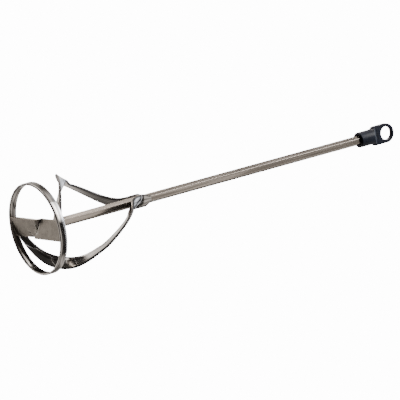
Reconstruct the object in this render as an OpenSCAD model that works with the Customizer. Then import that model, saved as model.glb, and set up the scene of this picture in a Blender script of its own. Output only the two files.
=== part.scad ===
// Mixing paddle for mortar. A hexagonal shaft carries two twisted blades, which run down to a
// tilted crossbar inside a bottom ring. A push-on plastic cap with a hanging eye closes the top.
// The paddle stands on its ring: Z = 0 is the ring's lower edge and Z is the shaft's axis.

/* [Shaft] */
// Height of the shaft's top end above the ring's lower edge
shaft_top = 390; // [300:5:700]
// Width of the shaft across its flats
shaft_af = 8; // [6:0.5:12]
// Chamfer round the shaft's top end
shaft_chamfer = 0.8; // [0.2:0.1:1.5]
// Thickness of the tongue that goes down through the crossbar
tongue_t = 1.8; // [1.2:0.1:3]
// Gap round the tongue in its slot
tongue_clear = 0.15; // [0.05:0.05:0.3]

/* [Bottom ring] */
// Outside diameter of the ring
ring_d = 85; // [65:1:160]
// Height of the ring's strip
ring_h = 7.5; // [5:0.5:12]
// Thickness of the ring's strip
ring_t = 2; // [1.5:0.1:3.5]
// Rounding of the strip's edges
ring_edge_r = 0.7; // [0.2:0.1:0.7]

/* [Crossbar] */
// Width of the crossbar
bar_w = 19; // [15:0.5:26]
// Thickness of the crossbar
bar_t = 2; // [1.5:0.1:3]
// Distance that the crossbar's edges stay inside the ring's height
bar_inset = 0.25; // [0:0.05:1]
// Length of the middle stretch in which the tilt turns over
bar_twist_l = 10; // [6:1:20]

/* [Blades] */
// Width of the blade strip
blade_w = 11.5; // [8:0.5:15]
// Thickness of the blade strip
blade_t = 2; // [1.5:0.1:3]
// Height at which the blades leave the shaft
hub_h = 113; // [80:1:180]
// Length of the flat tab that is welded to the shaft
tab_l = 12; // [8:1:20]
// Width of the tab's clipped top end
tab_end_w = 5; // [4:0.5:8]
// Length of the tab's clipped corners
tab_clip_l = 7; // [3:0.5:8]
// Gap between a blade's foot and the inside of the ring
foot_clear = 0.7; // [0.5:0.1:2]
// Length of the foot that continues the crossbar's plane
foot_l = 5; // [3:0.5:8]

/* [Hanging cap] */
// Outside diameter of the cap's body
cap_d = 15; // [14:0.5:22]
// Depth of the hexagonal socket in the cap
socket_l = 15; // [10:1:30]
// Gap between the shaft and each flat of the socket
socket_clear = 0.05; // [0.03:0.01:0.1]
// Thickness of plastic above the socket
cap_roof_t = 2; // [1.5:0.5:4]
// Width and depth of the lead-in at the socket's mouth
mouth_chamfer = 1; // [0.5:0.1:1.2]
// Outside diameter of the eye, which is also the tab's width
eye_outer_d = 19; // [17:0.5:26]
// Diameter of the hole in the eye
eye_hole_d = 13; // [8:0.2:14.6]
// Thickness of the eye
eye_t = 4; // [3:0.5:6]
// Height of the eye's centre above the cap's roof
eye_rise = 17; // [14:1:24]

/* [Welds] */
// Radius of the beads along the crossbar's ends
end_bead_r = 1.2; // [0.8:0.1:1.5]
// Radius of the beads that join the tabs to the shaft
hub_bead_r = 1.3; // [0.8:0.1:1.6]
// Radius of the beads at the blades' feet
foot_bead_r = 1.2; // [0.8:0.1:1.5]
// Width of the collar of weld round the shaft's foot
collar_w = 2.2; // [1.5:0.1:3]
// Width of the weld that closes the ring
seam_w = 3; // [2:0.5:5]
// Height of the ring's closing weld above the strip's inner face
seam_rise = 0.4; // [0.2:0.1:0.6]

/* [Hidden] */
steel = [0.72, 0.70, 0.67];
bright_steel = [0.80, 0.80, 0.79];
weld_steel = [0.60, 0.57, 0.53];
navy_plastic = [0.13, 0.15, 0.20];

fine = 96;
bead_fn = 24;
sink = 0.3;           // how far joined shapes melt into each other

ring_r = ring_d / 2;
ring_in_r = ring_r - ring_t;

// The crossbar's tilt makes it span the ring's height, less the inset at each edge.
bar_z = ring_h / 2;
bar_tilt = asin((ring_h - 2 * bar_inset) / norm([bar_w, bar_t])) - atan(bar_t / bar_w);
bar_edge_y = bar_w / 2 * cos(bar_tilt);
bar_steps = 8;

shaft_corner_r = shaft_af / 2 / cos(30);
// The shaft's shoulder stands clear of the twisting bar below it.
shoulder_z = bar_z + bar_t / 2 / cos(bar_tilt) + shaft_corner_r * tan(bar_tilt);
tongue_bottom_z = bar_z - bar_t / 2 + 0.3;
tongue_w = shaft_af;

tab_x = shaft_af / 2 + blade_t / 2;
tab_top_z = hub_h + tab_l;
foot_r = ring_in_r - foot_clear;

// Free stations of a blade's middle line, from the hub down to the foot: [radius as a share of the
// ring's, turn about the shaft, height as a share of the hub's, roll of the width from radial]
BLADE_STATIONS = [
    [0.19, -183, 0.87, 53], [0.62, -168, 0.80, 34], [0.84, -132, 0.52, 52],
    [0.86, -128, 0.455, 43], [0.99, -94, 0.335, 58], [1.01, -59, 0.18, 0]];
steps_per_span = 6;

cap_mouth_z = shaft_top - socket_l;
cap_roof_z = shaft_top + cap_roof_t;
eye_z = cap_roof_z + eye_rise;

// ---- shared shapes ----

// Hexagonal prism with flats square to X.
module hex_prism(af, h) {
    rotate([0, 0, 30]) cylinder(h = h, d = af / cos(30), $fn = 6);
}

// A copy turned half a turn about the shaft.
module turned() {
    rotate([0, 0, 180]) children();
}

// Rounded bar of weld along Y, with round ends.
module bead(r, l) {
    rotate([90, 0, 0]) cylinder(h = l, r = r, center = true, $fn = bead_fn);
    for (y = [-l / 2, l / 2]) translate([0, y, 0]) sphere(r = r, $fn = bead_fn);
}

// Solid through a row of four-cornered sections.
module twisted_strip(sections) {
    n = len(sections) - 1;
    sides = [for (i = [0 : n - 1], k = [0 : 3])
        let (a = 4 * i + k, b = 4 * i + (k + 1) % 4)
        each [[a, b + 4, b], [a, a + 4, b + 4]]];
    ends = [[0, 2, 3], [0, 1, 2], [4 * n, 4 * n + 2, 4 * n + 1], [4 * n, 4 * n + 3, 4 * n + 2]];
    polyhedron(points = [for (s = sections) each s], faces = concat(sides, ends), convexity = 6);
}

// ---- curves of the blade ----

function cubic_weights(s) = [
    pow(1 - s, 3), 3 * pow(s, 3) - 6 * s * s + 4,
    -3 * pow(s, 3) + 3 * s * s + 3 * s + 1, pow(s, 3)] / 6;

// Point at share t of the smooth curve that starts and ends on its first and last station.
function along(stations, t) =
    let (last = len(stations) - 1, spans = last + 2,
         x = min(t * spans, spans - 0.000001), i = floor(x),
         near = [for (k = [i - 2 : i + 1]) stations[min(max(k, 0), last)]])
    cubic_weights(x - i) * near;

function unit(v) = v / norm(v);

// The part of v square to t, at unit length.
function square_to(v, t) = unit(v - (v * t) * t);

// Unit directions square to heading t at point p: away from the shaft, and across that.
function outward(p, t) = square_to([p[0], p[1], 0], t);
function sideways(p, t) = cross(t, outward(p, t));

// Roll that lays the strip's width along a given direction.
function roll_onto(direction, p, t) = atan2(direction * sideways(p, t), direction * outward(p, t));

// Stations as [x, y, z, roll]. The tab lies flat on the shaft, with its width along Y.
tab_stations = [for (z = [tab_top_z, (tab_top_z + hub_h) / 2, hub_h]) [-tab_x, 0, z, 90]];
free_stations = [for (s = BLADE_STATIONS)
    [s[0] * ring_r * cos(s[1]), s[0] * ring_r * sin(s[1]), s[2] * hub_h, s[3]]];

// The foot lies in the plane of the crossbar's half at X > 0, square to its raised edge.
foot_heading = [0, cos(bar_tilt), -sin(bar_tilt)];
foot_rise_y = bar_edge_y + foot_l;
foot_x = sqrt(foot_r * foot_r - foot_rise_y * foot_rise_y) - blade_w / 2;
foot_stations = [for (y = [-foot_rise_y, -bar_edge_y])
    let (p = [foot_x, y, bar_z - y * tan(bar_tilt)])
    [each p, roll_onto([1, 0, 0], p, foot_heading)]];

blade_stations = concat(tab_stations, free_stations, foot_stations);
blade_steps = steps_per_span * (len(blade_stations) + 1);

function middle(t) = let (s = along(blade_stations, t)) [s[0], s[1], s[2]];
function roll(t) = along(blade_stations, t)[3];
function heading(t) = unit(middle(min(t + 0.002, 1)) - middle(max(t - 0.002, 0)));
function across(t) = let (p = middle(t), h = heading(t))
    cos(roll(t)) * outward(p, h) + sin(roll(t)) * sideways(p, h);

// Half width at height z: the strip's own, less towards the tab's clipped end.
function half_width(z) = min(blade_w,
    tab_end_w + (blade_w - tab_end_w) * max(tab_top_z - z, 0) / tab_clip_l) / 2;

function blade_section(t) =
    let (m = middle(t), w = across(t), a = w * half_width(m[2]),
         n = cross(heading(t), w) * blade_t / 2)
    [m + a + n, m - a + n, m - a - n, m + a - n];

module blade() {
    twisted_strip([for (i = [0 : blade_steps]) blade_section(i / blade_steps)]);
}

// ---- steel pieces ----

module hex_shaft() {
    color(steel) {
        intersection() {
            translate([0, 0, shoulder_z]) hex_prism(shaft_af, shaft_top - shoulder_z);
            // the chamfered top
            rotate_extrude($fn = fine) polygon([
                [0, 0], [2 * shaft_af, 0], [2 * shaft_af, shaft_top - 2 * shaft_af],
                [shaft_corner_r, shaft_top - shaft_chamfer],
                [shaft_corner_r - shaft_chamfer, shaft_top], [0, shaft_top]]);
        }
        translate([-tongue_t / 2, -tongue_w / 2, tongue_bottom_z])
            cube([tongue_t, tongue_w, shoulder_z - tongue_bottom_z + 1]);
    }
}

module rounded_strip(w, h, r) {
    translate([0, r]) square([w, h - 2 * r]);
    translate([r, 0]) square([w - 2 * r, h]);
    for (x = [r, w - r], y = [r, h - r]) translate([x, y]) circle(r = r, $fn = bead_fn);
}

module bottom_ring() {
    color(bright_steel) rotate_extrude($fn = 2 * fine)
        translate([ring_in_r, 0]) rounded_strip(ring_t, ring_h, ring_edge_r);
}

// Section of the crossbar at x. The tilt turns over evenly along the middle stretch.
function bar_section(x) =
    let (tilt = bar_tilt * max(-1, min(1, 2 * x / bar_twist_l)), m = [x, 0, bar_z],
         a = [0, cos(tilt), -sin(tilt)] * bar_w / 2, n = [0, sin(tilt), cos(tilt)] * bar_t / 2)
    [m + a + n, m - a + n, m - a - n, m + a - n];

module crossbar() {
    twist_xs = [for (i = [0 : bar_steps]) bar_twist_l * (i / bar_steps - 0.5)];
    color(steel) difference() {
        intersection() {
            twisted_strip([for (x = concat([-ring_r], twist_xs, [ring_r])) bar_section(x)]);
            translate([0, 0, -1]) cylinder(h = ring_h + 2, r = ring_in_r, $fn = 2 * fine);
        }
        translate([0, 0, bar_z]) cube([tongue_t + 2 * tongue_clear,
            tongue_w + 2 * tongue_clear, 3 * bar_t], center = true);
    }
}

module blade_a() {
    color(bright_steel) blade();
}

module blade_b() {
    color(bright_steel) turned() blade();
}

// ---- welds ----

// Two beads in the corners between a tab's back face and the shaft's sloping flats.
module hub_weld() {
    bead_l = tab_l - 2 * hub_bead_r;
    x = shaft_af / 2 - hub_bead_r + sink;
    y = shaft_corner_r / 2 + hub_bead_r * 0.8;
    for (side = [-1, 1])
        translate([-x, side * y, hub_h + tab_l / 2 - 1]) rotate([90, 0, 0])
            bead(hub_bead_r, bead_l - 2);
}

module hub_weld_a() {
    color(weld_steel) hub_weld();
}

module hub_weld_b() {
    color(weld_steel) turned() hub_weld();
}

// Collar of weld round the shaft's shoulder, down onto the crossbar.
module shaft_foot_weld() {
    low_z = bar_z + bar_t / 2;
    inner_r = shaft_af / 2 - sink;
    color(weld_steel) rotate_extrude($fn = fine) polygon([
        [inner_r, low_z], [shaft_corner_r + collar_w, low_z],
        [shaft_corner_r + collar_w * 0.6, shoulder_z],
        [shaft_corner_r + sink, shoulder_z + collar_w], [inner_r, shoulder_z + collar_w]]);
}

// Beads where the crossbar's end at X > 0 meets the ring: one below its raised half, one above
// its lowered half, so that both stay within the ring's height.
module end_weld() {
    y = bar_edge_y / 2;
    x = sqrt(pow(ring_in_r, 2) - y * y) - end_bead_r + sink;
    translate([0, 0, bar_z]) rotate([-bar_tilt, 0, 0])
        for (side = [-1, 1])
            translate([x, side * y, side * (bar_t / 2 + end_bead_r - sink)])
                bead(end_bead_r, bar_edge_y - 3 * end_bead_r);
}

module end_weld_a() {
    color(weld_steel) end_weld();
}

module end_weld_b() {
    color(weld_steel) turned() end_weld();
}

// Bead on top of the seam between a blade's foot and the crossbar's raised edge.
module foot_weld() {
    translate([foot_x, -bar_edge_y, bar_z + bar_edge_y * tan(bar_tilt)]) rotate([-bar_tilt, 0, 0])
        translate([0, 0, bar_t / 2]) rotate([0, 0, 90])
            bead(foot_bead_r, blade_w - 3 * foot_bead_r);
}

module foot_weld_a() {
    color(weld_steel) foot_weld();
}

module foot_weld_b() {
    color(weld_steel) turned() foot_weld();
}

// The weld that closed the strip into a ring: flush outside, slightly proud inside.
module ring_seam_weld() {
    color(weld_steel) rotate([0, 0, 52]) intersection() {
        translate([ring_in_r - seam_rise, -seam_w / 2, ring_edge_r])
            cube([seam_rise + sink, seam_w, ring_h - 2 * ring_edge_r]);
        translate([ring_in_r + seam_w * 0.6, 0, 0])
            cylinder(h = ring_h, r = seam_w * 0.6 + seam_rise, $fn = fine);
    }
}

// ---- hanging cap ----

module cap_tab_outline() {
    shoulder_l = eye_outer_d - cap_d;
    translate([0, eye_z]) circle(d = eye_outer_d, $fn = fine);
    polygon([
        [-cap_d / 2, cap_roof_z - cap_roof_t], [cap_d / 2, cap_roof_z - cap_roof_t],
        [eye_outer_d / 2, cap_roof_z - cap_roof_t + shoulder_l],
        [eye_outer_d / 2, eye_z], [-eye_outer_d / 2, eye_z],
        [-eye_outer_d / 2, cap_roof_z - cap_roof_t + shoulder_l]]);
}

module hanging_cap() {
    body_r = cap_d / 2;
    socket_af = shaft_af + 2 * socket_clear;
    socket_corner_r = socket_af / 2 / cos(30);
    rim_r = 0.6;
    color(navy_plastic) difference() {
        union() {
            // body with a domed roof that runs down into the tab
            rotate_extrude($fn = fine) polygon([
                [0, cap_mouth_z], [body_r - rim_r, cap_mouth_z], [body_r, cap_mouth_z + rim_r],
                [body_r, cap_roof_z - 1.2], [body_r - 1.2, cap_roof_z],
                [eye_t / 2, cap_roof_z + 3], [0, cap_roof_z + 3]]);
            rotate([90, 0, 90]) linear_extrude(height = eye_t, center = true) cap_tab_outline();
        }
        translate([0, 0, cap_mouth_z - 1]) hex_prism(socket_af, socket_l + 1);
        translate([0, 0, cap_mouth_z])
            cylinder(h = mouth_chamfer, r1 = socket_corner_r + mouth_chamfer,
                r2 = socket_corner_r, $fn = fine);
        translate([0, 0, eye_z]) rotate([0, 90, 0])
            cylinder(h = 2 * eye_t, d = eye_hole_d, center = true, $fn = fine);
    }
}

hex_shaft();
bottom_ring();
crossbar();
blade_a();
blade_b();
hanging_cap();
hub_weld_a();
hub_weld_b();
shaft_foot_weld();
end_weld_a();
end_weld_b();
foot_weld_a();
foot_weld_b();
ring_seam_weld();
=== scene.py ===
import math

import bmesh
import bpy
import numpy as np
from mathutils import Matrix, Vector


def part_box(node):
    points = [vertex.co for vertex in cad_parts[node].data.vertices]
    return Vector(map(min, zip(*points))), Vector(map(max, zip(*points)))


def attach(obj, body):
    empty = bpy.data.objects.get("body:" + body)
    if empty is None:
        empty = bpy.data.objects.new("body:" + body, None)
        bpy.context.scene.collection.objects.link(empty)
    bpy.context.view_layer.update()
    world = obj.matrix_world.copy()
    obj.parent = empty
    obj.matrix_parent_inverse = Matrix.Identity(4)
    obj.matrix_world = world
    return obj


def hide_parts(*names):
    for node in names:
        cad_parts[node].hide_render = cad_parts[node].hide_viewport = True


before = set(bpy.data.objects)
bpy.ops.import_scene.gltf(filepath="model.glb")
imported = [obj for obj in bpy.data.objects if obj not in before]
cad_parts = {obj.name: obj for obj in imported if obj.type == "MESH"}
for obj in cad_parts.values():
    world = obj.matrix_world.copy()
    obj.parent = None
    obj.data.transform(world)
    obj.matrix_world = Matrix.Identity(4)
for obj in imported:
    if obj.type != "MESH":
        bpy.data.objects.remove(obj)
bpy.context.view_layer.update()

bl_info = {
    "name": "Mortar mixing paddle",
    "version": (1, 0, 0),
    "blender": (4, 5, 0),
    "location": "View3D > Sidebar > Paddle",
    "description": "Builds the pieces and finishes of a mixing paddle on its packed frame",
    "category": "Object",
}

MM = 0.001

# Fixed details that the sizes below do not change.
BAR_CLEARANCE = 0.5 * MM  # of the crossbar inside the ring's height
FOOT_GAP = 0.7 * MM  # between a blade's foot and the ring
FOOT_RUN = 5 * MM  # straight end of a blade before the crossbar
TAB_NOSE = 5 * MM  # width of a blade's clipped top
TAB_TAPER = 7 * MM  # length over which it widens
SHAFT_CHAMFER = 0.8 * MM
FOOT_CHAMFER = 0.25 * MM
CAP_ROOF = 2 * MM
CAP_MOUTH_ROUNDING = 0.7 * MM
CAP_LEAD_IN = 1 * MM
EYE_ROUNDING = 0.7 * MM


def extent(node, axis):
    """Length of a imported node's box along one axis."""
    low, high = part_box(node)
    return high[axis] - low[axis]


# ---- sizes and finishes that a user may change ----


def length_prop(name, description, default):
    return bpy.props.FloatProperty(
        name=name, description=description, default=default, min=0.0, unit="LENGTH", precision=5
    )


def colour_prop(name, description, default):
    return bpy.props.FloatVectorProperty(
        name=name, description=description, default=default, size=3, min=0.0, max=1.0,
        subtype="COLOR"
    )


class PaddleSizes(bpy.types.PropertyGroup):
    """Sizes of the paddle's pieces."""

    shaft_width: length_prop("Shaft width", "Shaft across its flats", extent("hex_shaft", 0))
    shaft_top: length_prop("Shaft top", "Height of the shaft's top end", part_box("hex_shaft")[1].z)
    ring_diameter: length_prop("Ring diameter", "Outside of the ring", extent("bottom_ring", 0))
    ring_height: length_prop("Ring height", "Height of the ring's strip", extent("bottom_ring", 2))
    strip_thickness: length_prop("Strip thickness", "Ring, blades and crossbar", 2 * MM)
    ring_rounding: length_prop("Ring rounding", "Rounding of the ring's edges", 0.7 * MM)
    bar_width: length_prop("Crossbar width", "Crossbar across its tilted face", 19 * MM)
    bar_rounding: length_prop("Crossbar rounding", "Rounding of the crossbar's edges", 0.3 * MM)
    blade_width: length_prop("Blade width", "Width of the blade strip", 11.5 * MM)
    blade_rounding: length_prop("Blade rounding", "Rounding of the blade's edges", 0.35 * MM)
    tab_length: length_prop("Tab length", "Flat tab welded to the shaft", 12 * MM)
    cap_diameter: length_prop("Cap diameter", "Cap's round body", extent("hanging_cap", 0))
    eye_diameter: length_prop("Eye diameter", "Outside of the eye", extent("hanging_cap", 1))
    eye_hole: length_prop("Eye hole", "Diameter of the hole in the eye", 13 * MM)
    eye_thickness: length_prop("Eye thickness", "Thickness of the eye", 4 * MM)


class PaddleFinish(bpy.types.PropertyGroup):
    """Colours of the paddle's finishes."""

    shaft: colour_prop("Shaft", "Drawn bar, plated", (0.50, 0.455, 0.41))
    strip: colour_prop("Strip", "Bright plated strip of the ring and blades", (0.66, 0.64, 0.62))
    bar: colour_prop("Crossbar", "Satin plated flat bar", (0.64, 0.595, 0.54))
    weld: colour_prop("Weld", "Plated weld metal", (0.42, 0.38, 0.34))
    cap: colour_prop("Cap", "Moulded plastic", (0.006, 0.010, 0.024))
    floor: colour_prop("Floor", "Studio floor", (0.80, 0.80, 0.79))


# ---- nodes: arithmetic on sockets, and one way to add any other node ----


class Wire:
    """An output socket. Arithmetic on it adds Math nodes."""

    def __init__(self, bench, socket):
        self.bench = bench
        self.socket = socket

    def also(self, output):
        """Another output of the same node."""
        return Wire(self.bench, self.socket.node.outputs[output])

    def math(self, operation, *others):
        values = dict(enumerate((self, *others)))
        return self.bench.node("ShaderNodeMath", {"operation": operation}, values)

    def __add__(self, other):
        return self.math("ADD", other)

    __radd__ = __add__

    def __mul__(self, other):
        return self.math("MULTIPLY", other)

    __rmul__ = __mul__

    def __sub__(self, other):
        return self.math("SUBTRACT", other)

    def __rsub__(self, other):
        return self.bench.node("ShaderNodeMath", {"operation": "SUBTRACT"}, {0: other, 1: self})

    def __truediv__(self, other):
        return self.math("DIVIDE", other)

    def size(self):
        return self.math("ABSOLUTE")

    def rise(self, low, high):
        """0 below low, 1 above high, and smooth between."""
        return self.bench.node(
            "ShaderNodeMapRange", {"interpolation_type": "SMOOTHSTEP"},
            {0: self, 1: low, 2: high, 3: 0.0, 4: 1.0})

    def vector(self, operation, other=None, factor=None):
        values = {0: self}
        if other is not None:
            values[1] = other
        if factor is not None:
            values["Scale"] = factor
        return self.bench.node("ShaderNodeVectorMath", {"operation": operation}, values)

    def parts(self):
        x = self.bench.node("ShaderNodeSeparateXYZ", {}, {0: self}, "X")
        return x, x.also("Y"), x.also("Z")


class Bench:
    """Adds nodes to one tree."""

    def __init__(self, tree):
        self.tree = tree

    def node(self, kind, settings=None, values=None, output=0):
        """Adds a node. Settings go first, then the values or links of its sockets."""
        made = self.tree.nodes.new(kind)
        for key, value in (settings or {}).items():
            if key == "stops":
                ramp = made.color_ramp
                ramp.elements.remove(ramp.elements[-1])
                ramp.elements[0].position, ramp.elements[0].color = value[0]
                for position, colour in value[1:]:
                    ramp.elements.new(position).color = colour
            else:
                setattr(made, key, value)
        for key, value in (values or {}).items():
            if isinstance(value, Wire):
                self.tree.links.new(value.socket, made.inputs[key])
            else:
                made.inputs[key].default_value = value
        return Wire(self, made.outputs[output]) if len(made.outputs) else None

    def mix(self, share, first, second):
        """Colour between two colours."""
        return self.node("ShaderNodeMix", {"data_type": "RGBA"}, {0: share, 6: first, 7: second}, 2)

    def join(self, x, y, z):
        return self.node("ShaderNodeCombineXYZ", {}, {0: x, 1: y, 2: z})

    def noise(self, place, scale, detail=3.0, roughness=0.5):
        values = {"Vector": place, "Scale": scale, "Detail": detail, "Roughness": roughness}
        return self.node("ShaderNodeTexNoise", {}, values)

    def attribute(self, name):
        return self.node("ShaderNodeAttribute", {"attribute_name": name}, {}, "Vector")

    def here(self):
        return self.node("ShaderNodeTexCoord", {}, {}, "Object")


# ---- finishes ----


def opaque(rgb, factor=1.0):
    return tuple(min(1.0, c * factor) for c in rgb) + (1.0,)


def new_finish(name):
    material = bpy.data.materials.new(name)
    material.use_nodes = True
    material.node_tree.nodes.clear()
    return material, Bench(material.node_tree)


def close_finish(bench, colour, roughness, height, metallic=1.0, fixed=None):
    """Principled surface with a bump of the given height in metres."""
    bump = bench.node("ShaderNodeBump", {}, {"Height": height, "Strength": 1.0, "Distance": 1.0})
    values = {"Base Color": colour, "Roughness": roughness, "Metallic": metallic, "Normal": bump}
    values.update(fixed or {})
    surface = bench.node("ShaderNodeBsdfPrincipled", {}, values)
    bench.node("ShaderNodeOutputMaterial", {}, {"Surface": surface})


def plated_strip(name, colour, round_ring):
    """Bright plated strip: polished faces with drawing lines, dark streaks of painted reflection
    along it, and on the blades dull sheared edges that are also painted dark as shade.
    """
    material, bench = new_finish(name)
    place = bench.here()
    x, y, z = place.parts()
    along, over, through = bench.attribute("strip").parts()
    if round_ring:
        drawn = bench.join(x * 30, y * 30, z * 2600)
        streak_place = bench.join(x * 14, y * 14, z * 520)
    else:
        drawn = bench.join(along * 30, over * 11, through * 2)
        streak_place = bench.join(along * 11, over * 3.4, through)
    lines = bench.noise(drawn, 1.0, 4.0, 0.6)
    # Painted reflection: dark streaks along the blades and round the ring stand in for reflections
    # of dark flags.
    painted_reflection_streaks = bench.noise(streak_place, 1.0, 2.0).rise(0.47, 0.56)
    cloud = bench.noise(place, 55.0, 3.0)
    waves = bench.noise(place, 38.0, 1.0)
    spots = bench.noise(place, 420.0, 2.0)
    # Blades' outer edge band: rougher and rippled as sheared edges, and painted near black as
    # shade.
    sheared_edge_and_painted_shade = over.size().rise(0.74, 0.86) * (0.0 if round_ring else 1.0)
    tone = bench.mix(cloud.rise(0.35, 0.7), opaque(colour, 0.86), opaque(colour, 1.12))
    # Painted reflection: the streaks darken the strip's colour.
    tone = bench.mix(painted_reflection_streaks * 0.8, tone, opaque(colour, 0.22))
    tone = bench.mix(spots.rise(0.66, 0.76) * 0.5, tone, opaque(colour, 0.5))
    # Painted shade: the edge band is darkened to near black.
    tone = bench.mix(sheared_edge_and_painted_shade, tone, opaque(colour, 0.12))
    polish = 0.05 if round_ring else 0.08
    crown = -0.13 if round_ring else -0.05
    rough = polish + lines * 0.07 + cloud.rise(0.45, 0.75) * 0.06 + sheared_edge_and_painted_shade * 0.3
    lean = through.rise(-0.5, 0.5) - 0.5 if round_ring else 0.0
    height = (
        over * over * (crown * MM)
        - lean * z * 0.22
        + waves * (0.07 * MM)
        + lines * (0.0004 * MM)
        + sheared_edge_and_painted_shade * spots * (0.005 * MM)
    )
    close_finish(bench, tone, rough, height)
    return material


def drawn_shaft(name, colour):
    """Drawn hexagonal bar: lengthwise lines, handling smears, and a painted highlight along the
    corners.
    """
    material, bench = new_finish(name)
    place = bench.here()
    x, y, z = place.parts()
    lines = bench.noise(bench.join(x * 900, y * 900, z * 9), 1.0, 4.0, 0.65)
    smears = bench.noise(bench.join(x * 420, y * 420, z * 12), 1.0, 3.0)
    specks = bench.noise(place, 700.0, 2.0)
    # Mask of the hexagon's corners, where a highlight is painted.
    corner = (x * x + y * y).math("SQRT").rise(4.30 * MM, 4.52 * MM)
    tone = bench.mix(smears.rise(0.38, 0.62), opaque(colour, 0.55), opaque(colour, 1.2))
    tone = bench.mix(specks.rise(0.64, 0.74) * 0.45, tone, opaque(colour, 0.45))
    # Painted highlight: the corners are lightened as if catching the light.
    tone = bench.mix(corner * 0.7, tone, opaque(colour, 1.45))
    rough = 0.15 + lines * 0.08 + smears * 0.08 - corner * 0.03
    height = lines * (0.004 * MM) + smears * (0.02 * MM) + specks * (0.002 * MM)
    close_finish(bench, tone, rough, height)
    return material


def satin_bar(name, colour):
    """Satin plated flat bar with rolling marks and scuffs; its worn edges are lightened partly as a
    painted highlight, and it has painted highlights beside the press marks and round the slot and
    painted shade in the press marks.
    """
    material, bench = new_finish(name)
    place = bench.here()
    x, y, z = place.parts()
    grain = bench.noise(place, 900.0, 3.0, 0.6)
    blotch = bench.noise(place, 150.0, 4.0, 0.6)
    scuffs = bench.noise(bench.join(x * 60 + y * 25, y * 420 - x * 170, z * 60), 1.0, 2.0)
    # Channels of rim: worn edges (partly painted highlight), press marks (painted shade) and
    # painted highlights.
    rim, pressed, painted_highlight = bench.attribute("rim").parts()
    tone = bench.mix(blotch.rise(0.35, 0.68), opaque(colour, 0.84), opaque(colour, 1.12))
    tone = bench.mix(scuffs.rise(0.66, 0.75) * 0.5, tone, opaque(colour, 0.6))
    # Worn long edges, lightened partly as wear and partly as a painted highlight along their
    # rounding.
    tone = bench.mix(rim.rise(0.2, 0.9) * 0.55, tone, opaque(colour, 1.5))
    # Painted highlight beside the press marks and round the slot.
    tone = bench.mix(painted_highlight.rise(0.1, 0.9) * 0.7, tone, opaque(colour, 1.75))
    # Painted shade: the press marks are darkened to near black as if in shadow.
    tone = bench.mix(pressed.rise(0.2, 0.85) * 0.85, tone, opaque(colour, 0.10))
    rough = 0.40 + grain * 0.14 + blotch * 0.10 - rim * 0.12 - painted_highlight * 0.12
    height = grain * (0.010 * MM) + blotch * (0.06 * MM) - scuffs.rise(0.66, 0.75) * (0.01 * MM)
    close_finish(bench, tone, rough, height)
    return material


def weld_metal(name, colour):
    """Plated weld metal: pitted ripples, duller than the strips."""
    material, bench = new_finish(name)
    place = bench.here()
    pits = bench.noise(place, 1400.0, 3.0, 0.6)
    cloud = bench.noise(place, 260.0, 3.0)
    tone = bench.mix(cloud.rise(0.3, 0.7), opaque(colour, 0.7), opaque(colour, 1.3))
    tone = bench.mix(pits.rise(0.58, 0.72) * 0.6, tone, opaque(colour, 0.35))
    close_finish(bench, tone, 0.30 + cloud * 0.22, pits * (0.05 * MM) + cloud * (0.10 * MM))
    return material


def moulded_plastic(name, colour):
    """Semi-gloss plastic with fine moulding texture, scuffs and a parting line."""
    material, bench = new_finish(name)
    place = bench.here()
    x, y, z = place.parts()
    grain = bench.noise(place, 1500.0, 2.0)
    cloud = bench.noise(place, 130.0, 3.0)
    scuffs = bench.noise(bench.join(x * 220, y * 500 + z * 180, z * 120), 1.0, 3.0)
    parting = 1 - x.size().rise(0.06 * MM, 0.16 * MM)
    worn = scuffs.rise(0.64, 0.76)
    tone = bench.mix(cloud.rise(0.3, 0.7), opaque(colour, 0.75), opaque(colour, 1.35))
    tone = bench.mix(worn * 0.35, tone, opaque(colour, 3.0))
    rough = 0.34 + grain * 0.08 + worn * 0.14
    height = grain * (0.008 * MM) + cloud * (0.05 * MM) + parting * (0.03 * MM)
    close_finish(bench, tone, rough, height, 0.0, {"IOR": 1.36})
    return material


FINISHES = {
    "plated shaft": lambda f: drawn_shaft("plated shaft", f.shaft),
    "plated ring": lambda f: plated_strip("plated ring", f.strip, True),
    "plated blade": lambda f: plated_strip("plated blade", f.strip, False),
    "satin bar": lambda f: satin_bar("satin bar", f.bar),
    "weld metal": lambda f: weld_metal("weld metal", f.weld),
    "cap plastic": lambda f: moulded_plastic("cap plastic", f.cap),
}


def finish(name):
    """The named material, made the first time it is asked for."""
    found = bpy.data.materials.get(name)
    return found or FINISHES[name](bpy.context.scene.paddle_finish)


# ---- meshes ----


def outward(mesh, sharp=35):
    """Turns an inside-out shell round, and sets smooth shading with sharp edges."""
    bm = bmesh.new()
    bm.from_mesh(mesh)
    if bm.calc_volume(signed=True) < 0:
        bmesh.ops.reverse_faces(bm, faces=bm.faces)
    bm.to_mesh(mesh)
    bm.free()
    mesh.shade_smooth()
    mesh.set_sharp_from_angle(angle=math.radians(sharp))
    return mesh


def new_mesh(name, bm, material):
    mesh = bpy.data.meshes.new(name)
    bm.to_mesh(mesh)
    bm.free()
    mesh.materials.append(material)
    return mesh


def baked(name, mesh, *modifiers):
    """The mesh with modifiers (kind, settings) applied, or a tree's inputs set by identifier."""
    source = bpy.data.objects.new(name + "_work", mesh)
    bpy.context.scene.collection.objects.link(source)
    for kind, settings in modifiers:
        modifier = source.modifiers.new(kind, kind)
        if kind == "NODES":
            tree = modifier.node_group = settings["tree"]
            for item in tree.interface.items_tree:
                if item.name in settings["inputs"]:
                    modifier[item.identifier] = settings["inputs"][item.name]
        else:
            for key, value in settings.items():
                setattr(modifier, key, value)
    bpy.context.view_layer.update()
    graph = bpy.context.evaluated_depsgraph_get()
    made = bpy.data.meshes.new_from_object(
        source.evaluated_get(graph), preserve_all_data_layers=True, depsgraph=graph)
    source.modifiers.clear()
    bpy.data.objects.remove(source)
    made.name = name
    return made


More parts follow.
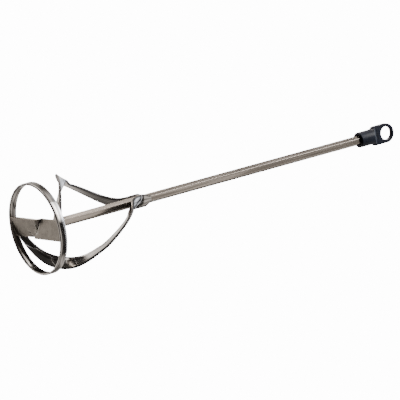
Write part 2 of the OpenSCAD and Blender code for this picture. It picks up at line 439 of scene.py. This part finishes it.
def put(name, mesh, nodes, body="paddle"):
    """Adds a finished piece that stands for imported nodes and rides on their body."""
    piece = bpy.data.objects.new(name, mesh)
    bpy.context.scene.collection.objects.link(piece)
    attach(piece, body)
    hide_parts(*nodes)
    return piece


def skin(bm, loops):
    """Closed shell through loops of points, with flat ends."""
    rings = [[bm.verts.new(p) for p in loop] for loop in loops]
    n = len(rings[0])
    for a, b in zip(rings, rings[1:]):
        for k in range(n):
            bm.faces.new((a[k], a[(k + 1) % n], b[(k + 1) % n], b[k]))
    bm.faces.new(rings[0][::-1])
    bm.faces.new(rings[-1])


def half_turn(mesh, name):
    """A copy turned half a turn about the shaft."""
    other = mesh.copy()
    other.name = name
    other.transform(Matrix.Rotation(math.pi, 4, "Z"))
    return other


# ---- geometry node trees ----


def new_tree(name, inputs):
    tree = bpy.data.node_groups.new(name, "GeometryNodeTree")
    tree.is_modifier = True
    tree.interface.new_socket(name="Path", in_out="INPUT", socket_type="NodeSocketGeometry")
    for label, kind in inputs:
        tree.interface.new_socket(name=label, in_out="INPUT", socket_type="NodeSocket" + kind)
    tree.interface.new_socket(name="Metal", in_out="OUTPUT", socket_type="NodeSocketGeometry")
    return tree, Bench(tree)


def close_tree(bench, given, geometry):
    solid = bench.node("GeometryNodeRealizeInstances", {}, {"Geometry": geometry})
    solid = bench.node(
        "GeometryNodeSetMaterial", {}, {"Geometry": solid, "Material": given.also("Material")})
    bench.node("NodeGroupOutput", {}, {"Metal": solid})


def rolled_strip_tree(closed):
    """Sweeps a strip's rounded section along the path's rows.

    The path's first vertices are the rows, with the attributes width_way, thick_way and
    half_size (half width, half thickness, length so far). The vertices after them give the
    section: the shares of the half width and thickness, and the angle of the rounding.
    """
    tree, bench = new_tree("closed strip" if closed else "open strip", [
        ("Rows", "Int"), ("Section points", "Int"), ("Edge rounding", "Float"),
        ("Material", "Material")])
    given = bench.node("NodeGroupInput", {}, {}, "Path")
    rows, points = given.also("Rows"), given.also("Section points")
    rounding = given.also("Edge rounding")
    tube = bench.node(
        "GeometryNodeMeshCylinder", {"fill_type": "NONE" if closed else "NGON"},
        {"Vertices": points, "Side Segments": rows - 1, "Radius": 1.0, "Depth": 1.0}, "Mesh")
    place = bench.node("GeometryNodeInputPosition")
    x, y, z = place.parts()
    row = ((z + 0.5) * (rows - 1)).math("ROUND")
    turn = (y.math("ARCTAN2", x) * points / math.tau).math("ROUND").math("FLOORED_MODULO", points)

    def sample(label, index):
        field = place
        if label:
            field = bench.node(
                "GeometryNodeInputNamedAttribute", {"data_type": "FLOAT_VECTOR"}, {"Name": label})
        return bench.node(
            "GeometryNodeSampleIndex", {"data_type": "FLOAT_VECTOR", "domain": "POINT"},
            {"Geometry": given, "Value": field, "Index": index})

    half_w, half_t, so_far = sample("half_size", row).parts()
    share_w, share_t, angle = sample("section", rows + turn).parts()
    off_w = share_w * half_w + (angle.math("COSINE") - share_w) * rounding
    off_t = share_t * half_t + (angle.math("SINE") - share_t) * rounding
    middle = sample(None, row)
    moved = middle.vector("ADD", sample("width_way", row).vector("SCALE", factor=off_w))
    moved = moved.vector("ADD", sample("thick_way", row).vector("SCALE", factor=off_t))
    strip = bench.node(
        "GeometryNodeStoreNamedAttribute", {"data_type": "FLOAT_VECTOR", "domain": "POINT"},
        {"Geometry": tube, "Name": "strip",
         "Value": bench.join(so_far, off_w / half_w, off_t / half_t)})
    strip = bench.node("GeometryNodeSetPosition", {}, {"Geometry": strip, "Position": moved})
    if closed:
        strip = bench.node(
            "GeometryNodeMergeByDistance", {}, {"Geometry": strip, "Distance": 0.01 * MM})
    close_tree(bench, given, strip)
    return tree


def weld_bead_tree():
    """Lays overlapping ripples of weld metal along a path."""
    tree, bench = new_tree("weld bead", [
        ("Bead radius", "Float"), ("Ripple spacing", "Float"), ("Ripple length", "Float"),
        ("Unevenness", "Float"), ("Seed", "Int"), ("Material", "Material")])
    given = bench.node("NodeGroupInput", {}, {}, "Path")
    radius, uneven = given.also("Bead radius"), given.also("Unevenness")
    curve = bench.node("GeometryNodeMeshToCurve", {}, {"Mesh": given})
    curve = bench.node(
        "GeometryNodeResampleCurve", {"mode": "LENGTH"},
        {"Curve": curve, "Length": given.also("Ripple spacing")})
    ripple = bench.node(
        "GeometryNodeMeshUVSphere", {}, {"Segments": 20, "Rings": 12, "Radius": radius}, "Mesh")
    heading = bench.node("GeometryNodeInputTangent")
    turned = bench.node("FunctionNodeAlignRotationToVector", {"axis": "Z"}, {"Vector": heading})
    spread = bench.node(
        "FunctionNodeRandomValue", {"data_type": "FLOAT"},
        {2: 1 - uneven, 3: 1.0, "Seed": given.also("Seed")}, 1)
    beads = bench.node("GeometryNodeInstanceOnPoints", {}, {
        "Points": curve, "Instance": ripple, "Rotation": turned,
        "Scale": bench.join(spread, spread, given.also("Ripple length") / radius)})
    close_tree(bench, given, beads)
    return tree


def strip_section(arc=4, flat=4):
    """Section points of a strip: four rounded corners, with extra points on the wide faces."""
    points = []
    for corner in range(4):
        w, t = (1, -1, -1, 1)[corner], (1, 1, -1, -1)[corner]
        points += [(w, t, math.radians(90 * (corner + j / arc))) for j in range(arc + 1)]
        if corner in (0, 2):
            points += [(w * (1 - 2 * j / (flat + 1)), t, math.radians(90 * (corner + 1)))
                       for j in range(1, flat + 1)]
    return points


def sweep_strip(name, rows, closed, rounding, material):
    """A strip through rows of (middle, width_way, thick_way, half_size)."""
    section = strip_section()
    mesh = bpy.data.meshes.new(name + "_path")
    mesh.vertices.add(len(rows) + len(section))
    fill = [(0.0, 0.0, 0.0)] * len(section)
    co = [r[0] for r in rows] + fill
    mesh.vertices.foreach_set("co", np.array(co, np.float32).ravel())
    columns = {"width_way": [r[1] for r in rows] + fill, "thick_way": [r[2] for r in rows] + fill,
               "half_size": [r[3] for r in rows] + fill,
               "section": [(0.0, 0.0, 0.0)] * len(rows) + section}
    for label, values in columns.items():
        attribute = mesh.attributes.new(label, "FLOAT_VECTOR", "POINT")
        attribute.data.foreach_set("vector", np.array(values, np.float32).ravel())
    inputs = {"Rows": len(rows), "Section points": len(section), "Edge rounding": rounding,
              "Material": material}
    label = "closed strip" if closed else "open strip"
    tree = bpy.data.node_groups.get(label) or rolled_strip_tree(closed)
    return outward(baked(name, mesh, ("NODES", {"tree": tree, "inputs": inputs})))


def lay_bead(name, paths, radius, seed, spacing=0.75 * MM, ripple=0.8 * MM):
    """Beads of weld along paths of points."""
    mesh = bpy.data.meshes.new(name + "_path")
    points, edges = [], []
    for path in paths:
        edges += [(len(points) + k, len(points) + k + 1) for k in range(len(path) - 1)]
        points += [tuple(p) for p in path]
    mesh.from_pydata(points, edges, [])
    tree = bpy.data.node_groups.get("weld bead") or weld_bead_tree()
    inputs = {"Bead radius": radius, "Ripple spacing": spacing, "Ripple length": ripple,
              "Unevenness": 0.14, "Seed": seed, "Material": finish("weld metal")}
    return outward(baked(name, mesh, ("NODES", {"tree": tree, "inputs": inputs})), 60)


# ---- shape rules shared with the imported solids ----


def unit(v):
    return v / np.linalg.norm(v)


class Layout:
    """Lengths in metres and angles in radians that follow from the sizes."""

    def __init__(self, sizes):
        s = self.sizes = sizes
        half_t = s.strip_thickness / 2
        self.ring_r = s.ring_diameter / 2
        self.ring_in_r = self.ring_r - s.strip_thickness
        self.bar_z = s.ring_height / 2
        self.bar_tilt = math.asin(
            (s.ring_height - BAR_CLEARANCE) / math.hypot(s.bar_width, s.strip_thickness)
        ) - math.atan(s.strip_thickness / s.bar_width)
        self.bar_edge_y = s.bar_width / 2 * math.cos(self.bar_tilt)
        self.corner_r = s.shaft_width / math.sqrt(3)
        self.shoulder_z = (
            self.bar_z + half_t / math.cos(self.bar_tilt)
            + self.corner_r * math.tan(self.bar_tilt))
        self.tab_top_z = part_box("blade_a")[1].z
        self.hub_z = self.tab_top_z - s.tab_length
        self.tab_x = s.shaft_width / 2 + half_t
        foot_r = self.ring_in_r - FOOT_GAP
        self.foot_rise_y = self.bar_edge_y + FOOT_RUN
        self.foot_x = math.sqrt(foot_r**2 - self.foot_rise_y**2) - s.blade_width / 2
        self.eye_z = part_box("hanging_cap")[1].z - s.eye_diameter / 2

    def on_bar(self, x, y, lift=0.0):
        """Point on the raised or lowered half of the crossbar, lifted square to it."""
        side = 1 if x > 0 else -1
        a = self.bar_tilt * side
        z = self.bar_z - y * math.tan(a) + lift * math.cos(a)
        return Vector((x, y + lift * math.sin(a), z))


BLADE_STATIONS = [
    (0.19, -183, 0.87, 53), (0.62, -168, 0.80, 34), (0.84, -132, 0.52, 52),
    (0.86, -128, 0.455, 43), (0.99, -94, 0.335, 58), (1.01, -59, 0.18, 0)]


def blade_rows(layout, steps=26):
    """Rows along a blade: tab on the shaft, six free stations, and the foot on the crossbar."""
    s = layout.sizes

    def frame_at(p, heading):
        radial = np.array([p[0], p[1], 0.0])
        out = unit(radial - radial.dot(heading) * heading)
        return out, np.cross(heading, out)

    stations = [(-layout.tab_x, 0.0, z, 90.0)
                for z in (layout.tab_top_z, (layout.tab_top_z + layout.hub_z) / 2, layout.hub_z)]
    for radius, turn, height, roll in BLADE_STATIONS:
        a = math.radians(turn)
        stations.append((radius * layout.ring_r * math.cos(a), radius * layout.ring_r * math.sin(a),
                         height * layout.hub_z, roll))
    foot_heading = np.array([0, math.cos(layout.bar_tilt), -math.sin(layout.bar_tilt)])
    for y in (-layout.foot_rise_y, -layout.bar_edge_y):
        p = np.array([layout.foot_x, y, layout.bar_z - y * math.tan(layout.bar_tilt)])
        out, side = frame_at(p, foot_heading)
        stations.append((*p, math.degrees(math.atan2(side[0], out[0]))))
    stations = np.array(stations)
    last = len(stations) - 1
    spans = last + 2

    def at(t):
        x = min(t * spans, spans - 1e-6)
        i, f = int(x), x - int(x)
        weights = np.array([(1 - f)**3, 3 * f**3 - 6 * f**2 + 4,
                            -3 * f**3 + 3 * f**2 + 3 * f + 1, f**3]) / 6
        return weights @ stations[[min(max(k, 0), last) for k in range(i - 2, i + 2)]]

    rows, so_far, before = [], 0.0, None
    for t in np.linspace(0, 1, spans * steps + 1):
        p = at(t)
        heading = unit(at(min(t + 0.002, 1))[:3] - at(max(t - 0.002, 0))[:3])
        out, side = frame_at(p[:3], heading)
        roll = math.radians(p[3])
        width_way = math.cos(roll) * out + math.sin(roll) * side
        thick_way = np.cross(heading, width_way)
        below_top = max(layout.tab_top_z - p[2], 0)
        clipped = TAB_NOSE + (s.blade_width - TAB_NOSE) * below_top / TAB_TAPER
        if before is not None:
            so_far += float(np.linalg.norm(p[:3] - before))
        before = p[:3]
        half = (min(s.blade_width, clipped) / 2, s.strip_thickness / 2, so_far)
        rows.append((tuple(p[:3]), tuple(width_way), tuple(thick_way), half))
    return rows


def hexagon(across, corner_rounding):
    """Radius and angle of points round a hexagon with flats square to X."""
    points = []
    centre = (across / 2 - corner_rounding) / math.cos(math.pi / 6)
    for k in range(6):
        corner = math.pi / 6 + k * math.pi / 3
        for j in range(5):
            a = corner + math.radians(-30 + 15 * j)
            x = centre * math.cos(corner) + corner_rounding * math.cos(a)
            y = centre * math.sin(corner) + corner_rounding * math.sin(a)
            points.append((math.hypot(x, y), math.atan2(y, x)))
        for j in range(1, 4):
            a = corner + math.pi / 6 + math.radians(-30 + 15 * j) * 0.9
            points.append((across / 2 / math.cos(a - corner - math.pi / 6), a))
    return points


# ---- operators ----


class PADDLE_OT_shaft(bpy.types.Operator):
    """Builds the hexagonal shaft with its chamfered top and the tongue at its foot"""

    bl_idname = "paddle.shaft"
    bl_label = "Shaft"

    def execute(self, context):
        s = context.scene.paddle_sizes
        layout = Layout(s)
        outline = hexagon(s.shaft_width, 0.3 * MM)
        chamfer_z = s.shaft_top - SHAFT_CHAMFER
        levels = [layout.shoulder_z, layout.shoulder_z + FOOT_CHAMFER]
        levels += list(np.linspace(0.02, s.shaft_top - 1 * MM, 12))
        levels += list(np.linspace(chamfer_z, s.shaft_top, 5))
        bm = bmesh.new()
        loops = []
        for n, z in enumerate(levels):
            most = layout.corner_r - max(0.0, z - chamfer_z)
            inset = FOOT_CHAMFER if n == 0 else 0.0
            cut = [(min(r - inset, most), a) for r, a in outline]
            loops.append([(r * math.cos(a), r * math.sin(a), z) for r, a in cut])
        skin(bm, loops)
        half_t, half_w, taper = 0.9 * MM, s.shaft_width / 2, 0.45 * MM
        low = layout.bar_z + 0.2 * MM
        tongue = [[(x * (half_t - i), y * (half_w - i), z)
                   for x, y in ((-1, -1), (1, -1), (1, 1), (-1, 1))]
                  for i, z in ((taper, low), (0.0, low + 2 * taper),
                               (0.0, layout.shoulder_z + 1 * MM))]
        skin(bm, tongue)
        mesh = outward(new_mesh("shaft", bm, finish("plated shaft")), 25)
        put("drive_shaft", mesh, ["hex_shaft"])
        return {"FINISHED"}


class PADDLE_OT_ring(bpy.types.Operator):
    """Rolls the bottom ring from a strip with rounded edges"""

    bl_idname = "paddle.ring"
    bl_label = "Bottom ring"

    def execute(self, context):
        s = context.scene.paddle_sizes
        half_w, half_t = s.ring_height / 2, s.strip_thickness / 2
        middle_r = s.ring_diameter / 2 - half_t
        rows = []
        for a in np.linspace(0, math.tau, 289):
            out = (math.cos(a), math.sin(a), 0.0)
            rows.append(((middle_r * out[0], middle_r * out[1], half_w), (0.0, 0.0, 1.0), out,
                         (half_w, half_t, middle_r * a)))
        mesh = sweep_strip("ring", rows, True, s.ring_rounding, finish("plated ring"))
        put("rolled_ring", mesh, ["bottom_ring"])
        return {"FINISHED"}


class PADDLE_OT_crossbar(bpy.types.Operator):
    """Builds the crossbar: tilted halves, the pressed twist between them, and the centre slot"""

    bl_idname = "paddle.crossbar"
    bl_label = "Crossbar"

    press_marks = ((6.4, -9.0, 1.4, 0.2), (-17.0, 2.5, -10.8, 9.2))
    mark_width = 0.75 * MM

    def groove(self, x, y):
        """Depth share of the two press marks beside the twist, 0 to 1."""
        deepest = 0.0
        for x0, y0, x1, y1 in self.press_marks:
            run = Vector(((x1 - x0) * MM, (y1 - y0) * MM))
            at = Vector((x - x0 * MM, y - y0 * MM))
            share = min(1.0, max(0.0, at.dot(run) / run.length_squared))
            gap = (at - run * share).length
            deepest = max(deepest, 1 - min(1.0, gap / self.mark_width) ** 2)
        return deepest

    def execute(self, context):
        s = context.scene.paddle_sizes
        layout = Layout(s)
        slot_x, slot_y = 1.05 * MM, s.shaft_width / 2 + 0.15 * MM
        inner = 12 * MM
        mark_depth = 0.35 * MM
        step, spare = 0.4 * MM, 0.1 * MM
        xs = [x for x in np.arange(-inner, inner + 1e-6, step) if abs(abs(x) - slot_x) > spare]
        xs = sorted(xs + [-slot_x, slot_x])
        ends = list(np.linspace(1, 2, 10))[1:]
        columns = [-e for e in ends[::-1]] + [x / inner for x in xs] + ends
        ys = np.linspace(-layout.bar_edge_y, layout.bar_edge_y, 41)
        ys = sorted([y for y in ys if abs(abs(y) - slot_y) > 0.12 * MM] + [-slot_y, slot_y])
        bm = bmesh.new()
        grid = []
        for c in columns:
            line = []
            for y in ys:
                end = math.sqrt((layout.ring_in_r - 0.1 * MM) ** 2 - y * y)
                x = c * inner
                if abs(c) > 1:
                    x = math.copysign(inner + (abs(c) - 1) * (end - inner), c)
                share = y / layout.bar_edge_y
                crease = -4.5 * MM * math.sin(math.pi / 2 * share)
                width = (0.9 + 3.2 * (1 - share * share) ** 2) * MM
                tilt = math.tanh((x - crease) / width)
                z = layout.bar_z - y * math.tan(layout.bar_tilt) * tilt
                z += mark_depth * self.groove(x, y)
                line.append(bm.verts.new((x, y, z)))
            grid.append(line)
        for i in range(len(columns) - 1):
            for j in range(len(ys) - 1):
                x = (columns[i] + columns[i + 1]) / 2 * inner
                if abs(x) < slot_x and abs(ys[j] + ys[j + 1]) / 2 < slot_y:
                    continue
                bm.faces.new((grid[i][j], grid[i + 1][j], grid[i + 1][j + 1], grid[i][j + 1]))
        bmesh.ops.delete(bm, geom=[v for v in bm.verts if not v.link_faces], context="VERTS")
        sheet = new_mesh("crossbar_sheet", bm, finish("satin bar"))
        mesh = baked(
            "crossbar", sheet,
            ("SOLIDIFY", {"thickness": s.strip_thickness, "offset": 0.0}),
            ("BEVEL", {"width": s.bar_rounding, "segments": 2, "limit_method": "ANGLE",
                       "angle_limit": math.radians(50)}))
        outward(mesh)
        rim = mesh.attributes.new("rim", "FLOAT_VECTOR", "POINT")
        values = []
        for v in mesh.vertices:
            to_edge = layout.bar_edge_y - abs(v.co.y)
            to_slot = max(abs(v.co.x) - slot_x, abs(v.co.y) - slot_y)
            # Painted highlight round the slot's edge.
            slot_highlight = max(0.0, 1 - abs(to_slot) / (0.9 * MM))
            # worn: band along the long edges, lightened in the finish as wear and as a painted
            # highlight.
            worn = max(0.0, 1 - max(to_edge, 0.0) / (0.6 * MM))
            # Painted highlight on one side of each press mark.
            painted_highlight = self.groove(v.co.x - 0.9 * MM, v.co.y)
            # rim holds the worn edges, the press marks (painted dark as shade) and the painted
            # highlights.
            values.append((worn, self.groove(v.co.x, v.co.y), max(slot_highlight, painted_highlight)))
        rim.data.foreach_set("vector", np.array(values, np.float32).ravel())
        put("tilted_crossbar", mesh, ["crossbar"])
        return {"FINISHED"}


class PADDLE_OT_blades(bpy.types.Operator):
    """Sweeps the two twisted blades from the shaft to the crossbar"""

    bl_idname = "paddle.blades"
    bl_label = "Blades"

    def execute(self, context):
        s = context.scene.paddle_sizes
        rows = blade_rows(Layout(s))
        mesh = sweep_strip("blade_first", rows, False, s.blade_rounding, finish("plated blade"))
        put("twisted_blade_first", mesh, ["blade_a"])
        put("twisted_blade_second", half_turn(mesh, "blade_second"), ["blade_b"])
        return {"FINISHED"}


class PADDLE_OT_welds(bpy.types.Operator):
    """Lays the weld beads at the hub, shaft's foot, crossbar's ends, blade feet and seam"""

    bl_idname = "paddle.welds"
    bl_label = "Welds"

    def execute(self, context):
        s = context.scene.paddle_sizes
        layout = Layout(s)

        def pair(name, mesh, node):
            put(name + "_first", mesh, [node + "_a"])
            put(name + "_second", half_turn(mesh, name + "_second"), [node + "_b"])

        z = (layout.hub_z + layout.tab_top_z) / 2 - 1 * MM
        x, y = -(s.shaft_width / 2 - 1.0 * MM), layout.corner_r / 2 + 1.04 * MM
        paths = [[(x, side * y, z + d * MM) for d in (-3.6, 0, 3.6)] for side in (-1, 1)]
        pair("hub_bead", lay_bead("hub_bead", paths, 1.25 * MM, 3), "hub_weld")

        circles = []
        for radius, height in ((4.6 * MM, 6.9 * MM), (5.4 * MM, 5.7 * MM)):
            circles.append([(radius * math.cos(a), radius * math.sin(a), height)
                            for a in np.linspace(0, math.tau * 0.985, 60)])
        collar = lay_bead("collar_bead", circles, 1.25 * MM, 5)
        put("shaft_foot_collar", collar, ["shaft_foot_weld"])

        x = math.sqrt(layout.ring_in_r**2 - (layout.bar_edge_y / 2) ** 2) - 0.9 * MM
        reach = (layout.bar_edge_y - 3.6 * MM) / 2
        paths = []
        for side in (-1, 1):
            lift = side * (s.strip_thickness / 2 + 0.75 * MM)
            paths.append([layout.on_bar(x, side * layout.bar_edge_y / 2 + d * reach, lift)
                          for d in (-1, 0, 1)])
        pair("end_bead", lay_bead("end_bead", paths, 1.15 * MM, 7, 0.5 * MM, 1.2 * MM), "end_weld")

        reach = (s.blade_width - 3.6 * MM) / 2
        path = [layout.on_bar(layout.foot_x + d * reach, -layout.bar_edge_y,
                              s.strip_thickness / 2) for d in (-1, 0, 1)]
        pair("foot_bead", lay_bead("foot_bead", [path], 1.15 * MM, 9), "foot_weld")

        a, r = math.radians(52), layout.ring_in_r + 0.65 * MM
        path = [(r * math.cos(a), r * math.sin(a), d * MM) for d in (1.7, 3.75, 5.8)]
        seam = lay_bead("seam_bead", [path], 1.0 * MM, 11, 0.6 * MM)
        put("ring_seam_bead", seam, ["ring_seam_weld"])
        return {"FINISHED"}


class PADDLE_OT_cap(bpy.types.Operator):
    """Moulds the push-on cap with its hexagonal socket and hanging eye"""

    bl_idname = "paddle.cap"
    bl_label = "Hanging cap"

    def execute(self, context):
        s = context.scene.paddle_sizes
        layout = Layout(s)
        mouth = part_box("hanging_cap")[0].z
        body_r = s.cap_diameter / 2
        roof = s.shaft_top + CAP_ROOF
        socket = s.shaft_width + 0.12 * MM
        n = 96
        angles = [math.tau * k / n for k in range(n)]

        def hex_r(a):
            return socket / 2 / math.cos((a + math.pi / 6) % (math.pi / 3) - math.pi / 6)

        def round_loop(radius, z):
            return [(radius * math.cos(a), radius * math.sin(a), z) for a in angles]

        socket_corner = socket / math.sqrt(3)
        loops = []
        for z in (s.shaft_top, *np.linspace(mouth + CAP_LEAD_IN, mouth, 5)):
            cone = socket_corner + CAP_LEAD_IN - (z - mouth)
            loops.append([(max(hex_r(a), cone) * math.cos(a), max(hex_r(a), cone) * math.sin(a), z)
                          for a in angles])
        for q in range(7):
            t = math.radians(15 * q)
            loops.append(round_loop(body_r - CAP_MOUTH_ROUNDING * (1 - math.sin(t)),
                                    mouth + CAP_MOUTH_ROUNDING * (1 - math.cos(t))))
        half_tab, half_eye = s.eye_thickness / 2, s.eye_diameter / 2
        loops.append(round_loop(body_r, roof - 2 * MM))
        for q in range(1, 15):
            share = q / 14
            ease = share * share * (3 - 2 * share)
            loop = []
            for a in angles:
                c, w = math.cos(a), math.sin(a)
                wide = body_r + (half_eye - 0.4 * MM - body_r) * ease
                thick = body_r + (half_tab * 0.96 - body_r) * ease
                power = 2 + 3 * ease
                r = (abs(c / thick) ** power + abs(w / wide) ** power) ** (-1 / power)
                loop.append((r * c, r * w, roof - 1.4 * MM + 6.0 * MM * share))
            loops.append(loop)
        bm = bmesh.new()
        skin(bm, loops)

        hole_r, e = s.eye_hole / 2, EYE_ROUNDING
        low = layout.eye_z - (roof - 0.6 * MM)
        shoulder = half_eye - body_r

        def outline(a):
            """Distance from the eye's centre to the tab's outline, in the direction a."""
            c, w = abs(math.cos(a)), math.sin(a)
            if w >= 0:
                return half_eye
            drop = -w
            side = half_eye / c if c > 1e-6 else 1.0
            slope = (half_eye + low - shoulder) / (c + drop) if c + drop else 1.0
            return min(side, slope, low / drop)

        section = []
        for out, start in ((1, -90), (0, 90)):
            for q in range(9):
                t = math.radians(start + 22.5 * q)
                inset = e * (1 - abs(math.cos(t)))
                across = (half_tab - e) * (1 if math.sin(t) > 0 else -1) + e * math.sin(t)
                if q == 4:
                    continue
                section.append((out, inset, across))
        rings = []
        for a in angles:
            far, near = outline(a), hole_r
            ring = []
            for out, inset, across in section:
                r = far - inset if out else near + inset
                ring.append(bm.verts.new((across, r * math.cos(a), layout.eye_z + r * math.sin(a))))
            rings.append(ring)
        m = len(section)
        for k in range(n):
            a, b = rings[k], rings[(k + 1) % n]
            for j in range(m):
                bm.faces.new((a[j], a[(j + 1) % m], b[(j + 1) % m], b[j]))
        bmesh.ops.recalc_face_normals(bm, faces=bm.faces)
        mesh = outward(new_mesh("cap", bm, finish("cap plastic")), 40)
        put("cap_with_eye", mesh, ["hanging_cap"], "cap")
        return {"FINISHED"}


# Brightness of the studio's walls by bearing in degrees from +X.
UPPER_WALLS = (
    (-180, 1.3), (-158, 0.8), (-142, 0.12), (-122, 0.08), (-109, 0.35), (-89, 1.0),
    (-66, 0.9), (-52, 6.0), (-25, 7.0), (-17, 2.0), (-10, 0.03), (12, 0.05), (40, 0.09),
    (60, 0.03), (76, 0.06), (88, 0.6), (112, 0.7), (132, 0.6), (152, 1.0), (180, 1.3))
MIDDLE_WALLS = (
    (-180, 0.65), (-145, 0.3), (-108, 0.20), (-75, 0.35), (-35, 0.8), (-15, 0.95),
    (30, 0.95), (60, 0.6), (95, 0.3), (132, 0.12), (160, 0.45), (180, 0.65))
LOWER_WALLS = (
    (-180, 1.2), (-168, 1.6), (-155, 1.2), (-145, 2.2), (-129, 6.0), (-107, 5.0),
    (-88, 1.7), (-68, 0.85), (-55, 0.2), (-48, 0.04), (-25, 0.06), (-12, 0.35), (11, 0.75),
    (31, 0.25), (51, 0.55), (71, 0.42), (91, 0.7), (111, 0.36), (130, 0.3), (148, 0.9),
    (160, 1.1), (180, 1.0))
CAMERA_PLACE = Matrix((
    (0.5748, -0.0553, 0.8164, 2.2299), (0.1529, -0.9729, -0.1735, -0.4592),
    (0.8039, 0.2246, -0.5508, -1.3224), (0, 0, 0, 1)))
CAMERA_LENS, CAMERA_SENSOR = 263.88, 36
BACKDROP_BRIGHTNESS = 14.0
FLOOR_REACH = 30.0


class PADDLE_OT_stage(bpy.types.Operator):
    """Lays the pale floor and sets the studio light and the camera"""

    bl_idname = "paddle.stage"
    bl_label = "Stage"

    def execute(self, context):
        self.floor(context)
        self.surroundings(context)
        self.lamp("key light", (0.9, -1.1, 1.5), (0, 0, 0.2), 1.0, 12)
        data = bpy.data.cameras.new("camera")
        data.lens, data.sensor_width = CAMERA_LENS, CAMERA_SENSOR
        data.clip_start, data.clip_end = 0.05, 100
        camera = bpy.data.objects.new("camera", data)
        camera.matrix_world = CAMERA_PLACE
        context.scene.collection.objects.link(camera)
        context.scene.camera = camera
        return {"FINISHED"}

    def floor(self, context):
        """Pale floor. Seen or lit from below it lets everything through."""
        material, bench = new_finish("studio floor")
        back = bench.node("ShaderNodeNewGeometry", {}, {}, "Backfacing")
        seen = bench.node("ShaderNodeLightPath", {}, {}, "Is Camera Ray")
        pale = bench.node("ShaderNodeBsdfDiffuse", {}, {
            "Color": opaque(context.scene.paddle_finish.floor)})
        clear = bench.node("ShaderNodeBsdfTransparent")
        lift = bench.node("ShaderNodeEmission", {}, {"Color": (1, 1, 1, 1), "Strength": 0.9})
        pale = bench.node("ShaderNodeAddShader", {}, {0: pale, 1: lift})
        surface = bench.node("ShaderNodeMixShader", {}, {0: seen * (1 - back), 1: clear, 2: pale})
        bench.node("ShaderNodeOutputMaterial", {}, {"Surface": surface})
        bm = bmesh.new()
        r = FLOOR_REACH
        bm.faces.new([bm.verts.new((x, y, -0.1 * MM))
                      for x, y in ((-r, -r), (r, -r), (r, r), (-r, r))])
        floor = bpy.data.objects.new("floor", new_mesh("floor", bm, material))
        context.scene.collection.objects.link(floor)

    def surroundings(self, context):
        """Pale surroundings. Reflections see softboxes and dark flags between them."""
        world = bpy.data.worlds.new("studio")
        world.use_nodes = True
        world.node_tree.nodes.clear()
        bench = Bench(world.node_tree)
        x, y, z = bench.node("ShaderNodeTexCoord", {}, {}, "Generated").parts()
        seen = bench.node("ShaderNodeLightPath", {}, {}, "Is Camera Ray")
        bearing = y.math("ARCTAN2", x) / math.tau + 0.5

        def ring_of_light(stops):
            """Grey levels by bearing in degrees from +X, at one height of the walls."""
            stops = [((b + 180) / 360, (v / 10, v / 10, v / 10, 1)) for b, v in stops]
            return bench.node("ShaderNodeValToRGB", {"stops": stops}, {0: bearing}) * 10

        upper = ring_of_light(UPPER_WALLS)
        lower = ring_of_light(LOWER_WALLS)
        middle = ring_of_light(MIDDLE_WALLS)
        back = (-1 * x / (x * x + y * y).math("SQRT")).rise(0.80, 0.92) * z.rise(-0.68, -0.62)
        beside = y.rise(0.6, 0.85) * z.rise(-0.62, -0.45)
        below = 0.045 + back * 0.75 + beside * 0.22
        above = 1.3 + z.rise(0.85, 0.98) * 1.5
        streak = (1 - (z - 0.742).size().rise(0.005, 0.014)) * x.rise(0.1, 0.3)
        walls = lower + (middle - lower) * z.rise(0.46, 0.50)
        walls = walls + (upper + streak * 3.0 - walls) * z.rise(0.575, 0.60)
        studio = below + (walls - below) * z.rise(-0.12, 0.02)
        studio = studio + (above - studio) * z.rise(0.81, 0.87)
        cool = z.rise(0.62, 0.80)
        tint = bench.join(
            studio * (1.05 - cool * 0.12), studio * 0.98, studio * (0.91 + cool * 0.16))
        tone = bench.mix(seen, tint, (BACKDROP_BRIGHTNESS,) * 3 + (1.0,))
        light = bench.node("ShaderNodeBackground", {}, {"Color": tone, "Strength": 1.0})
        bench.node("ShaderNodeOutputWorld", {}, {"Surface": light})
        context.scene.world = world

    def lamp(self, name, place, aim, size, power):
        data = bpy.data.lights.new(name, "AREA")
        data.size, data.energy = size, power
        lamp = bpy.data.objects.new(name, data)
        lamp.location = place
        lamp.rotation_euler = (Vector(place) - Vector(aim)).to_track_quat("Z", "Y").to_euler()
        bpy.context.scene.collection.objects.link(lamp)


class PADDLE_PT_panel(bpy.types.Panel):
    """Lists the paddle's sizes, finishes and pieces"""

    bl_idname = "PADDLE_PT_panel"
    bl_label = "Mixing paddle"
    bl_space_type = "VIEW_3D"
    bl_region_type = "UI"
    bl_category = "Paddle"

    def draw(self, context):
        for group in (context.scene.paddle_sizes, context.scene.paddle_finish):
            box = self.layout.box()
            for key in group.__annotations__:
                box.prop(group, key)
        for operator in OPERATORS:
            self.layout.operator(operator.bl_idname)


OPERATORS = (PADDLE_OT_shaft, PADDLE_OT_ring, PADDLE_OT_crossbar, PADDLE_OT_blades,
             PADDLE_OT_welds, PADDLE_OT_cap, PADDLE_OT_stage)
CLASSES = (PaddleSizes, PaddleFinish, *OPERATORS, PADDLE_PT_panel)


def register():
    for cls in CLASSES:
        bpy.utils.register_class(cls)
    bpy.types.Scene.paddle_sizes = bpy.props.PointerProperty(type=PaddleSizes)
    bpy.types.Scene.paddle_finish = bpy.props.PointerProperty(type=PaddleFinish)


def unregister():
    del bpy.types.Scene.paddle_finish
    del bpy.types.Scene.paddle_sizes
    for cls in reversed(CLASSES):
        bpy.utils.unregister_class(cls)


def main():
    register()
    for operator in OPERATORS:
        group, name = operator.bl_idname.split(".")
        getattr(getattr(bpy.ops, group), name)()


if __name__ == "__main__":
    main()
